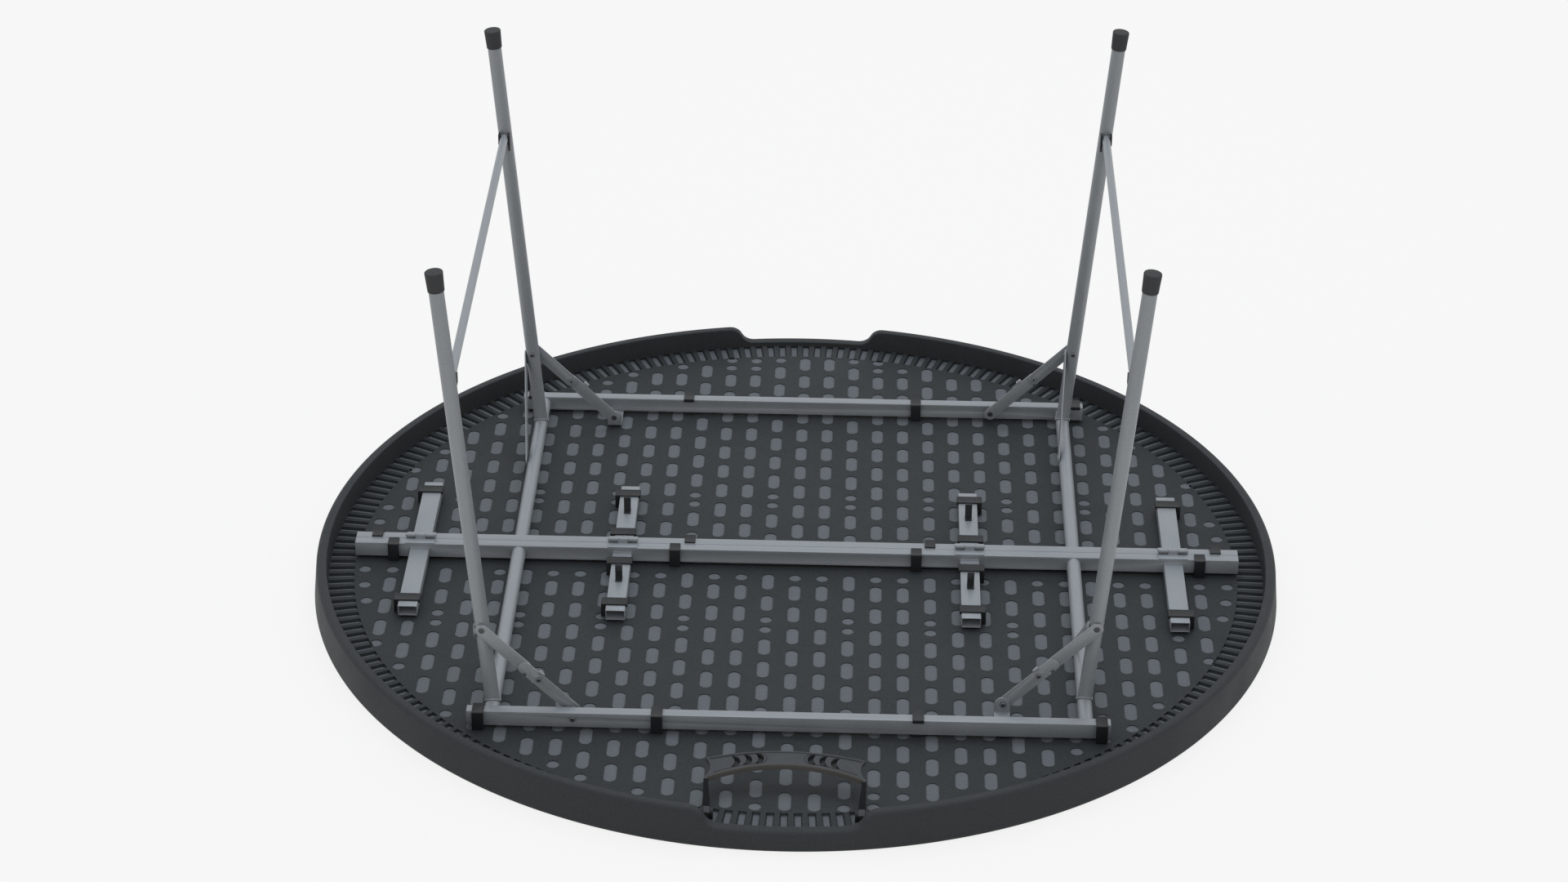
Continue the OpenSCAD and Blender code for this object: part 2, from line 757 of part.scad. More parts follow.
// Black clip on the back end of a stretcher, with a cheek on each side and a tail
module stretcher_clip(side) {
    back_end = leg_y(side < 0 ? BL : BR) - tube_r - run_gap;
    inside = stretcher_r + seat_gap;
    color(BLACK) mirror([side < 0 ? 1 : 0, 0, 0]) translate([stretcher_x, 0, stretcher_z])
        along_y(back_end - stretcher_d, stretcher_d) {
            translate([-inside - holder_t, -1.6 * stretcher_d]) square([holder_t, 2.2 * stretcher_d]);
            translate([inside, -inside - holder_t]) square([holder_t, 1.35 * stretcher_d]);
            translate([-inside - holder_t, -inside - holder_t]) square([2 * (inside + holder_t), holder_t]);
        }
}

// Hook on the front leg: it keeps the stretcher from moving inwards or towards the feet
module stretcher_hook(side) {
    leg = side < 0 ? FL : FR;
    face = leg_y(leg) - tube_r;
    inside = stretcher_r + run_gap;
    reach = stretcher_end_gap + stretcher_r;
    color(BLACK) at_leg(leg) difference() {
        along_y(face - reach, reach + tube_r / 2) translate([stretcher_x, stretcher_z]) {
            translate([-inside - holder_t, -stretcher_r])
                square([holder_t, stretcher_d + holder_t + run_gap]);
            translate([-inside - holder_t, inside]) square([2 * inside + holder_t, holder_t]);
        }
        leg_frame() translate([0, leg_y(leg), 0]) cylinder(r = tube_r + seat_gap, h = leg_l);
    }
}

// ---------- handle ----------

module grip_outline() {
    intersection() {
        difference() {
            translate([0, grip_far + far_bow - far_r]) circle(far_r, $fn = 180);
            translate([0, grip_near + near_bow - near_r]) circle(near_r, $fn = 180);
        }
        translate([-handle_w / 2, grip_near]) square([handle_w, grip_far + far_bow - grip_near]);
    }
}

// Crescent with its back towards the middle of the grip, half way between the grip's two edges
module vent(x) {
    near = arc_height(grip_near, near_bow, near_r, x);
    far = arc_height(grip_far, far_bow, far_r, x);
    translate([x, (near + far) / 2]) difference() {
        circle(vent_r);
        translate([0.95 * vent_r, 0]) circle(vent_r + 0.5);
    }
}

module handle_outline() {
    half_w = handle_w / 2;
    difference() {
        union() {
            grip_outline();
            for (side = [0, 1]) mirror([side, 0]) {
                polygon([[half_w - 1, 0], [half_w, grip_near + 1], [half_w - arm_tip_w - 1, grip_near + 1],
                         [half_w - arm_foot_w, 0]]);
                translate([half_w - arm_foot_w, -handle_t / 2]) square([arm_foot_w - 1, handle_t / 2]);
            }
        }
        for (side = [0, 1]) mirror([side, 0]) {
            for (i = [0:2]) vent(first_vent + i * vent_pitch);
            translate([half_w - end_scoop + scoop_r, (grip_near + grip_far) / 2 + 1]) circle(scoop_r);
        }
    }
}

module handle() {
    color(SHELL) translate([0, handle_y, handle_z]) rotate([handle_tilt, 0, 0]) difference() {
        translate([0, 0, -handle_t / 2]) linear_extrude(handle_t) handle_outline();
        translate([-top_r, 0, 0]) rotate([0, 90, 0]) cylinder(d = handle_pin_d + run_gap, h = 2 * top_r);
    }
}

module handle_cheek(x) {
    along_x(x, cheek_t) {
        translate([handle_y - cheek_w / 2, deck_top]) square([cheek_w, handle_pivot_rise]);
        translate([handle_y, handle_z]) circle(d = cheek_w);
    }
}

module handle_brackets() {
    outer = handle_w / 2 - 1 + run_gap;
    inner = handle_w / 2 - arm_foot_w - run_gap - cheek_t;
    color(BLACK) for (side = [0, 1]) mirror([side, 0, 0]) difference() {
        union() {
            handle_cheek(outer);
            handle_cheek(inner);
            translate([inner, handle_y - cheek_w / 2, deck_top]) cube([outer - inner, cheek_w, 2]);
        }
        translate([0, handle_y, handle_z]) rotate([0, 90, 0])
            cylinder(d = handle_pin_d + 2 * seat_gap, h = handle_w);
    }
}

module handle_pins() {
    length = arm_foot_w + 2 * run_gap + 2 * cheek_t;
    color(STEEL) for (side = [0, 1]) mirror([side, 0, 0])
        translate([handle_w / 2 - arm_foot_w - run_gap - cheek_t, handle_y, handle_z]) rotate([0, 90, 0])
            cylinder(d = handle_pin_d, h = length);
}

// ---------- nodes ----------

half_top(BACK);  // back_top
half_sheet(BACK);  // back_inner_sheet
half_deck(BACK);  // back_deck
half_outer_rail(BACK);  // back_outer_rail
half_center_rail(BACK);  // back_center_rail
half_channels(BACK);  // back_channels
half_rail_clips(BACK);  // back_rail_clips
half_center_clips(BACK);  // back_center_clips
half_channel_clips(BACK);  // back_channel_clips
half_latch_hooks(BACK);  // back_latch_hooks
half_hinge_leaves(BACK);  // back_hinge_leaves
brace_bracket(BL);  // back_brace_bracket
half_top(FRONT);  // front_top
half_sheet(FRONT);  // front_inner_sheet
half_deck(FRONT);  // front_deck
half_outer_rail(FRONT);  // front_outer_rail
half_center_rail(FRONT);  // front_center_rail
half_channels(FRONT);  // front_channels
half_rail_clips(FRONT);  // front_rail_clips
half_center_clips(FRONT);  // front_center_clips
half_channel_clips(FRONT);  // front_channel_clips
half_latch_hooks(FRONT);  // front_latch_hooks
half_hinge_leaves(FRONT);  // front_hinge_leaves
brace_bracket(FR);  // front_brace_bracket
hinge_pins();
leg_tube(BL);  // leg_bl
leg_tube(BR);  // leg_br
leg_tube(FL);  // leg_fl
leg_tube(FR);  // leg_fr
cross_tube(BL);  // cross_tube_bl
cross_tube(BR);  // cross_tube_br
cross_tube(FL);  // cross_tube_fl
cross_tube(FR);  // cross_tube_fr
foot_cap(BL);  // foot_cap_bl
foot_cap(BR);  // foot_cap_br
foot_cap(FL);  // foot_cap_fl
foot_cap(FR);  // foot_cap_fr
gusset(BL);  // gusset_bl
gusset(BR);  // gusset_br
gusset(FL);  // gusset_fl
gusset(FR);  // gusset_fr
brace_upper(BL);  // brace_upper_bl
brace_upper(BR);  // brace_upper_br
brace_upper(FL);  // brace_upper_fl
brace_upper(FR);  // brace_upper_fr
brace_lower(BL);  // brace_lower_bl
brace_lower(BR);  // brace_lower_br
brace_lower(FL);  // brace_lower_fl
brace_lower(FR);  // brace_lower_fr
stretcher(-1);  // stretcher_left
stretcher(1);  // stretcher_right
stretcher_clip(-1);  // stretcher_clip_left
stretcher_clip(1);  // stretcher_clip_right
stretcher_hook(-1);  // stretcher_hook_left
stretcher_hook(1);  // stretcher_hook_right
handle();
handle_brackets();
handle_pins();
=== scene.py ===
"""Round table that folds in half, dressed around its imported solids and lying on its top."""

import json
import math

import bmesh
import bpy
from bpy.props import FloatProperty, FloatVectorProperty, IntProperty, PointerProperty
from bpy.types import Operator, Panel, PropertyGroup
from mathutils import Matrix, Vector

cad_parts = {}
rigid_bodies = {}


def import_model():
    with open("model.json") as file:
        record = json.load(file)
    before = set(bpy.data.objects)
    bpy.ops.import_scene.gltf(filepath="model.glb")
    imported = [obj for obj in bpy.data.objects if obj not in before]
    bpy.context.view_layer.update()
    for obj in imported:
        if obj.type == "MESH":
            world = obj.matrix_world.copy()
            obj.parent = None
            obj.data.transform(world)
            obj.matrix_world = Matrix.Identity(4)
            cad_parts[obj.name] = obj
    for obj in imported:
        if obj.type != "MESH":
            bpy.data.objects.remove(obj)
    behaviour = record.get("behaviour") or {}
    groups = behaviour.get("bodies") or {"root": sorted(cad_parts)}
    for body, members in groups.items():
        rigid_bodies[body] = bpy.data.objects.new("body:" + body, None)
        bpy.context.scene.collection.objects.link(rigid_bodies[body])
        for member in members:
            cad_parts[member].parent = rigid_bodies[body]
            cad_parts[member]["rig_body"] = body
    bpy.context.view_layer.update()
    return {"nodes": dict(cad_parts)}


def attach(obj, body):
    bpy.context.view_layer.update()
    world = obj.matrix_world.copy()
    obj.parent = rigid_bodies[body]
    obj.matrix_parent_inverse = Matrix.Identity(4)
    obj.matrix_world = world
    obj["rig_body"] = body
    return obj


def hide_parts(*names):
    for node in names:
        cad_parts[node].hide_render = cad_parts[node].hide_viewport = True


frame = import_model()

bl_info = {
    "name": "Folding round table",
    "version": (1, 0, 0),
    "blender": (4, 5, 0),
    "location": "View3D > Sidebar > Round table",
    "description": "Dresses the solids of a round table that folds in half",
    "category": "Object",
}

WELD = 2e-6
BODY_OF = {n: o["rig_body"] for n, o in frame["nodes"].items()}
HALVES = {"back": 1, "front": -1}
# leg code: (side in X, half in Y, distance of the leg from the fold line, true where its brace has a bracket)
LEGS = {
    "bl": (-1, 1, 0.4144, True),
    "br": (1, 1, 0.4546, False),
    "fl": (-1, -1, 0.4546, False),
    "fr": (1, -1, 0.4144, True),
}
# Places of the frame's pivots and tubes, for the details on them
TUBE_RADIUS = 0.011
PIVOT_X, PIVOT_Z = 0.4425, 0.04255
LEAN = math.radians(5)
LEG_RIVET = (0.45427, 0.17704)
KNEE = (0.39157, 0.11518)
MID_RIVET = (0.37153, 0.09540)
BRACE_FOOT = (0.320, 0.04455)
# A brace: thickness of a link, gap beside it, distance of the links from the leg, thickness of the bracket
LINK, LINK_GAP, LINK_STANDOFF, BRACKET = 0.0020, 0.0003, 0.0026, 0.0020
# Far side of the outer rail, which carries the foot rivet of a brace without a bracket
RAIL_FAR_SIDE = 0.4990
CHANNEL_X = (-0.601, -0.277, 0.277, 0.601)
CHANNEL_WIDTH = 0.030
CHANNEL_Y = 0.0173
CHANNEL_Z = (0.0297, 0.0467)
# How far the slots' leaning sides stay below the deck's upper face
SLOT_SINK = 0.0003
# Weld beads: radius, lift off the steel, and for a leg's: points, spread round the tube and lift
WELD_BEAD, WELD_LIFT = 0.0013, 0.0002
LEG_WELD_STEPS, LEG_WELD_SPREAD, LEG_WELD_LIFT = 40, 0.0006, 0.0012
# Rivet heads: radius, and heights at the ends of a brace, at the knee and in the middle of the lower link
HEAD_RADIUS, HEAD, KNEE_HEAD, MID_HEAD = 0.0047, 0.0027, 0.0022, 0.0026
# Height of a head that another piece passes closely, and radius of the one at the foot
FLUSH_HEAD, FLUSH_FOOT_RADIUS = 0.00022, 0.0046
# The carry handle, in its own plane: X runs along the grip, Y from the pivot to the grip, Z out of its face
HANDLE_PIVOT = (0, -0.717, 0.035)
HANDLE_TILT = math.radians(20)
# Height of the handle's face above its middle plane
HANDLE_FACE = 0.0045
# Edges of the grip as arcs: (distance from the pivot at the ends, bow, half width)
GRIP_FAR = (0.092, 0.015, 0.117)
GRIP_NEAR = (0.058, 0.025, 0.1132)
# Inner and outer side of an arm under its sleeve: (distance from the middle at the pivot, gain along the arm)
SLEEVE_INNER, SLEEVE_OUTER = (0.1062, 0.0060), (0.1160, 0.0010)
ARM_LENGTH, SLEEVE_START, SLEEVE_LENGTH = 0.059, 0.0068, 0.0485
# Distance between a sleeve's slices, and how far a rib and a groove stand out of the arm
SLEEVE_PITCH, SLEEVE_RIB, SLEEVE_GROOVE = 0.0012, 0.0007, 0.0002
# Ridge on the grip: half its length, inset from the far edge, sink into the face, radius of the bead
RIDGE_REACH, RIDGE_INSET, RIDGE_SINK, RIDGE_BEAD = 0.112, 0.0018, 0.0001, 0.0012
# Fine black lines round the vents, beads that paint the shade of a groove's wall: ends in X, step, insets
# from the far and the near edge, turn's bulge, radius
LINE_START, LINE_END, LINE_STEP = 0.038, 0.110, 0.006
LINE_FAR, LINE_NEAR, LINE_BULGE, LINE_BEAD = 0.0040, 0.0045, 1.3, 0.00045
# Section of the strip along the grip's near edge: (distance from the edge, height)
NEAR_EDGE = ((0.0015, 0.0046), (-0.0005, 0.0045), (-0.0010, 0.0040), (-0.0030, -0.0034), (0.0015, -0.0046))
NEAR_EDGE_REACH = 0.1125
# Black floors in the vents, a dark sheet that paints the deep shade in them: start in X, step, inset from
# both edges, bottom and top
VENT_START, VENT_STEP, VENT_INSET = 0.029, 0.005, 0.0025
VENT_BOTTOM, VENT_TOP = -0.0038, -0.0012
# Stage: light from below and from above, place of the overhead lamp, the floor
LOW_LIGHT, HIGH_LIGHT = (1.05, 0.98, 0.92, 1.0), (0.93, 1.0, 1.07, 1.0)
LAMP_AT, LAMP_SIZE, LAMP_COLOUR = (0.3, 1.6, 5.0), 3.2, (0.90, 1.0, 1.10)
FLOOR_SIZE, FLOOR_DROP, FLOOR_SHARE = 30.0, 0.0004, 0.85
# Camera: azimuth, elevation and roll in degrees, distance from the point it looks at, lens in mm
CAMERA_TURN = (1.2627, 29.1097, 0.5752)
CAMERA_DISTANCE, CAMERA_TARGET = 6.3954, (-0.0308, 0.4424, 0)
CAMERA_LENS, CAMERA_SENSOR = 85.955, 36.0


# ---------- settings ----------


def size(name, about, default):
    return FloatProperty(
        name=name, description=about, default=default, min=0.0001, max=1.0, unit="LENGTH", precision=4
    )


def number(name, about, default, low, high):
    return IntProperty(name=name, description=about, default=default, min=low, max=high)


def strength(name, about, default, high):
    return FloatProperty(name=name, description=about, default=default, min=0, max=high)


def colour(name, about, default):
    return FloatVectorProperty(
        name=name, description=about, default=default, size=3, min=0, max=1, subtype="COLOR"
    )


class TopSettings(PropertyGroup):
    radius: size("Radius", "Radius of the round top", 0.762)
    rim_width: size("Rim width", "Width of the raised rim", 0.0165)
    rim_height: size("Rim height", "Height of the rim above the face", 0.0605)
    flare: size("Rim flare", "How far the rim stands out near its foot", 0.0044)
    face: size("Face", "Thickness of the tabletop face", 0.003)
    outer_round: size("Outer rounding", "Radius of the rim's outer edges", 0.007)
    inner_round: size("Inner rounding", "Radius of the rim's inner edge", 0.002)
    seam: size("Seam", "Gap of each half from the fold line", 0.0002)
    wall: size("Fold wall", "Thickness of the wall along the fold line", 0.004)
    wall_top: size("Fold wall top", "Height of the wall along the fold line", 0.0248)
    notch_floor: size("Notch floor", "Height of the hand notch's floor", 0.033)
    notch_half: size("Notch half width", "Half the width of the notch's floor", 0.092)
    shoulder: size("Notch shoulder", "Width of a curved notch shoulder", 0.044)
    seam_round: size("Seam edge", "Bevel of the rim's edges at the fold line", 0.0006)
    steps: number("Steps", "Steps round one half of the top", 900, 90, 1200)
    slots: number("Slots", "Slots round one half of the deck", 111, 10, 200)
    slot_width: size("Slot width", "Width of a slot of the deck", 0.0125)
    slot_start: size("Slot start", "Distance from the middle of the top to the slots", 0.7035)
    slot_end: size("Slot end", "Distance from the middle of the top to the slots' outer ends", 0.744)
    slot_floor: size("Slot floor", "Height of the slots' floor", 0.0213)
    slot_draft: size("Slot draft", "How far a slot's side leans in at its floor", 0.0017)
    deck_top: size("Deck top", "Height of the deck", 0.026)


class FinishSettings(PropertyGroup):
    shell: colour("Top", "Charcoal of the moulded top", (0.037, 0.040, 0.042))
    deck: colour("Deck", "Charcoal of the pierced deck", (0.0335, 0.0375, 0.0400))
    pocket: colour("Pockets", "Grey of the pocket floors", (0.142, 0.153, 0.163))
    steel: colour("Steel", "Grey of the powder-coated steel", (0.298, 0.316, 0.333))
    rivet: colour("Rivets", "Dark zinc of the rivets", (0.085, 0.090, 0.092))
    clip: colour("Clips", "Black of the moulded clips", (0.017, 0.018, 0.019))
    cap: colour("Foot caps", "Black of the rubber foot caps", (0.060, 0.060, 0.062))
    handle: colour("Handle", "Charcoal of the carry handle", (0.0720, 0.0770, 0.0820))
    # Painted bounce light: the brown tinge of the grip's near edge stands for warm light bounced from the
    # front and below, not for the moulding's own colour.
    edge: colour("Handle edge", "Brown tinge of the grip's near edge", (0.098, 0.092, 0.085))
    # The sleeves draw the handle's arms near-black, much darker than the rest of the handle.
    sleeve: colour("Sleeves", "Black of the sleeves on the handle's arms", (0.0165, 0.0170, 0.0180))


class StageSettings(PropertyGroup):
    floor: colour("Floor", "Colour of the floor", (0.82, 0.79, 0.76))
    backdrop: colour("Backdrop", "Colour of the plain backdrop", (0.930, 0.930, 0.930))
    floor_glow: colour("Floor glow", "Colour that evens out the floor", (0.985, 0.985, 0.982))
    sky: strength("Sky", "Strength of the even light", 0.64, 3)
    key_power: strength("Key", "Power of the overhead light", 52, 4000)


class RoundTableSettings(PropertyGroup):
    top: PointerProperty(type=TopSettings)
    finish: PointerProperty(type=FinishSettings)
    stage: PointerProperty(type=StageSettings)


# ---------- materials ----------


def node(tree, kind, **inputs):
    """A new node of a tree, with the values of its inputs."""
    made = tree.nodes.new(kind)
    for key, value in inputs.items():
        made.inputs[key.replace("_", " ")].default_value = value
    return made


def spread(tree, middle, reach):
    """Maps a noise to values round the middle, as far as reach on both sides."""
    return node(
        tree, "ShaderNodeMapRange",
        From_Min=0.3, From_Max=0.7, To_Min=middle - reach, To_Max=middle + reach,
    )


def grained(name, base, rough, grain, relief, speckle, gloss, mottle=0.06, metallic=0.0, wear=0.06):
    """A finish with a fine grain: speckle and mottle vary its colour, wear its gloss; relief raises it."""
    found = bpy.data.materials.get(name)
    if found:
        return found
    material = bpy.data.materials.new(name)
    material.use_nodes = True
    tree = material.node_tree
    tree.nodes.clear()
    link = tree.links.new
    output = tree.nodes.new("ShaderNodeOutputMaterial")
    shader = node(tree, "ShaderNodeBsdfPrincipled", Metallic=metallic, Specular_IOR_Level=gloss)
    link(shader.outputs["BSDF"], output.inputs["Surface"])
    place = tree.nodes.new("ShaderNodeTexCoord").outputs["Object"]

    fine = node(tree, "ShaderNodeTexNoise", Scale=1 / grain, Detail=3.0, Roughness=0.6)
    broad = node(tree, "ShaderNodeTexNoise", Scale=14.0, Detail=4.0, Roughness=0.55)
    pebble = node(tree, "ShaderNodeTexVoronoi", Scale=0.8 / grain)
    for texture in (fine, broad, pebble):
        link(place, texture.inputs["Vector"])

    speckled = spread(tree, 1, speckle)
    mottled = spread(tree, 1, mottle)
    link(fine.outputs["Fac"], speckled.inputs["Value"])
    link(broad.outputs["Fac"], mottled.inputs["Value"])
    shade = tree.nodes.new("ShaderNodeMath")
    shade.operation = "MULTIPLY"
    link(speckled.outputs["Result"], shade.inputs[0])
    link(mottled.outputs["Result"], shade.inputs[1])
    tint = tree.nodes.new("ShaderNodeVectorMath")
    tint.operation = "SCALE"
    tint.inputs[0].default_value = base
    link(shade.outputs["Value"], tint.inputs["Scale"])
    link(tint.outputs["Vector"], shader.inputs["Base Color"])

    worn = spread(tree, rough, wear)
    link(broad.outputs["Fac"], worn.inputs["Value"])
    link(worn.outputs["Result"], shader.inputs["Roughness"])

    low = node(tree, "ShaderNodeBump", Strength=relief, Distance=grain * 0.35)
    high = node(tree, "ShaderNodeBump", Strength=relief * 0.7, Distance=grain * 0.2)
    link(pebble.outputs["Distance"], low.inputs["Height"])
    link(fine.outputs["Fac"], high.inputs["Height"])
    link(low.outputs["Normal"], high.inputs["Normal"])
    link(high.outputs["Normal"], shader.inputs["Normal"])
    return material


RECIPES = {
    "shell": dict(rough=0.62, grain=0.0018, relief=0.45, speckle=0.24, gloss=0.22),
    "deck": dict(rough=0.64, grain=0.0018, relief=0.45, speckle=0.26, gloss=0.20),
    "pocket": dict(rough=0.66, grain=0.0018, relief=0.40, speckle=0.16, gloss=0.20),
    "steel": dict(
        rough=0.40, grain=0.0016, relief=0.22, speckle=0.10, gloss=0.42, mottle=0.035, metallic=0.15,
    ),
    "rivet": dict(rough=0.36, grain=0.0008, relief=0.15, speckle=0.10, gloss=0.5, metallic=0.6),
    "clip": dict(rough=0.50, grain=0.0010, relief=0.30, speckle=0.14, gloss=0.30),
    "cap": dict(rough=0.74, grain=0.0010, relief=0.40, speckle=0.12, gloss=0.20),
    "handle": dict(rough=0.58, grain=0.0011, relief=0.35, speckle=0.10, gloss=0.25),
    "edge": dict(rough=0.62, grain=0.0011, relief=0.35, speckle=0.10, gloss=0.20),
    "sleeve": dict(rough=0.70, grain=0.0010, relief=0.30, speckle=0.10, gloss=0.12),
}
MATERIAL_NAMES = {
    "shell": "charcoal_moulding",
    "deck": "pierced_deck_moulding",
    "pocket": "grey_inner_moulding",
    "steel": "grey_powder_coat",
    "rivet": "dark_zinc",
    "clip": "black_moulding",
    "cap": "foot_rubber",
    "handle": "handle_moulding",
    # The handle edge's material carries painted warm bounce light.
    "edge": "handle_edge_moulding",
    "sleeve": "sleeve_rubber",
}


def finish_of(key):
    """The material of a finish, made when it is first asked for."""
    colours = bpy.context.scene.round_table.finish
    return grained(MATERIAL_NAMES[key], tuple(getattr(colours, key)), **RECIPES[key])


# ---------- building ----------


def coat(name, key):
    """Gives a CAD node its finish."""
    obj = frame["nodes"][name]
    obj.data.materials.clear()
    obj.data.materials.append(finish_of(key))


def piece(name, build, key, body, stands_for=(), crease=35.0):
    """Turns a bmesh into a piece that rides on a body."""
    mesh = bpy.data.meshes.new(name)
    build.to_mesh(mesh)
    build.free()
    old = mesh.attributes.get("custom_normal")
    if old:
        mesh.attributes.remove(old)
    for face in mesh.polygons:
        face.use_smooth = True
    mesh.set_sharp_from_angle(angle=math.radians(crease))
    mesh.materials.clear()
    mesh.materials.append(finish_of(key))
    obj = bpy.data.objects.new(name, mesh)
    bpy.context.scene.collection.objects.link(obj)
    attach(obj, body)
    if stands_for:
        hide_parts(*stands_for)


def copy_of(name):
    """A CAD node's mesh, merged, with its flat faces made whole."""
    build = bmesh.new()
    build.from_mesh(frame["nodes"][name].data)
    bmesh.ops.remove_doubles(build, verts=build.verts, dist=WELD)
    bmesh.ops.dissolve_limit(
        build, angle_limit=math.radians(0.3), use_dissolve_boundaries=False,
        verts=build.verts, edges=build.edges, delimit=set(),
    )
    return build


def bevel(build, edges, width, segments):
    bmesh.ops.bevel(
        build, geom=edges, offset=width, offset_type="OFFSET", segments=segments, profile=0.5,
        affect="EDGES", clamp_overlap=True, material=-1,
    )


def ease_node(name, key, width, segments=2, panel=0.0, panel_depth=0.0):
    """Replaces a CAD node by a copy with rounded edges; panel sinks its top faces inside a raised border."""
    build = copy_of(name)
    if panel:
        highest = max(v.co.z for v in build.verts)
        tops = [
            f for f in build.faces
            if f.normal.z > 0.99 and highest - f.calc_center_median().z < 0.02 and f.calc_area() > 1e-4
        ]
        bmesh.ops.inset_individual(build, faces=tops, thickness=panel, depth=-panel_depth)
    sharp = [
        e for e in build.edges
        if len(e.link_faces) == 2 and e.calc_face_angle(0) > math.radians(40)
    ]
    bevel(build, sharp, width, segments)
    piece(f"{name}_eased", build, key, BODY_OF[name], (name,))


def transformed(build, matrix):
    bmesh.ops.transform(build, matrix=matrix, verts=build.verts)
    return build


def spun(profile, steps):
    """A closed turned shape from (radius, height) points round Z."""
    build = bmesh.new()
    verts = [build.verts.new((r, 0, z)) for r, z in profile]
    edges = [build.edges.new(pair) for pair in zip(verts, verts[1:])]
    bmesh.ops.spin(
        build, geom=verts + edges, cent=(0, 0, 0), axis=(0, 0, 1), dvec=(0, 0, 0),
        angle=math.tau, steps=steps, use_merge=True, use_duplicate=False,
    )
    bmesh.ops.remove_doubles(build, verts=build.verts, dist=WELD)
    bmesh.ops.recalc_face_normals(build, faces=build.faces)
    return build


def arc(cx, cy, radius, start, end, steps):
    """Points on an arc, in degrees."""
    return [
        (cx + radius * math.cos(math.radians(a)), cy + radius * math.sin(math.radians(a)))
        for a in (start + (end - start) * i / steps for i in range(steps + 1))
    ]


def bead(build, path, radius, closed=False, sides=8):
    """Adds a round bead along a path; the ends of an open one are closed."""
    count = len(path)
    rings = []
    for i, point in enumerate(path):
        before = path[i - 1] if closed or i else point
        after = path[(i + 1) % count] if closed or i < count - 1 else point
        along = (after - before).normalized()
        across = along.cross(Vector((0, 0, 1)))
        if across.length < 0.1:
            across = along.cross(Vector((0, 1, 0)))
        across.normalize()
        third = along.cross(across)
        rings.append([
            build.verts.new(point + radius * (math.cos(a) * across + math.sin(a) * third))
            for a in (math.tau * k / sides for k in range(sides))
        ])
    pairs = list(zip(rings, rings[1:])) + ([(rings[-1], rings[0])] if closed else [])
    for one, two in pairs:
        for k in range(sides):
            build.faces.new((one[k], one[(k + 1) % sides], two[(k + 1) % sides], two[k]))
    if not closed:
        build.faces.new(reversed(rings[0]))
        build.faces.new(rings[-1])


def grip_arc(edge, x):
    """Distance from the pivot, at x, of an edge of the handle's grip."""
    foot, bow, half_width = edge
    radius = (half_width**2 + bow**2) / (2 * bow)
    return foot + bow - radius + math.sqrt(radius**2 - x * x)


def dome(radius, height):
    """A low round rivet head that stands on the XY plane."""
    steps = 8
    profile = [(0.0, 0.0), (radius, 0.0)]
    profile += [
        (radius * math.cos(a), height * (0.2 + 0.8 * math.sin(a)))
        for a in (math.pi / 2 * i / steps for i in range(steps + 1))
    ]
    profile[-1] = (0.0, height)
    return spun(profile, 28)


def add_domes(build, places):
    """Adds a rivet head at each place: (x, y, z, side it faces in Y, radius, height)."""
    for x, y, z, side, radius, height in places:
        head = dome(radius, height)
        turn = Matrix.Rotation(-side * math.pi / 2, 4, "X")
        mesh = bpy.data.meshes.new("head")
        transformed(head, Matrix.Translation((x, y, z)) @ turn).to_mesh(mesh)
        head.free()
        build.from_mesh(mesh)
        bpy.data.meshes.remove(mesh)


# ---------- operators ----------


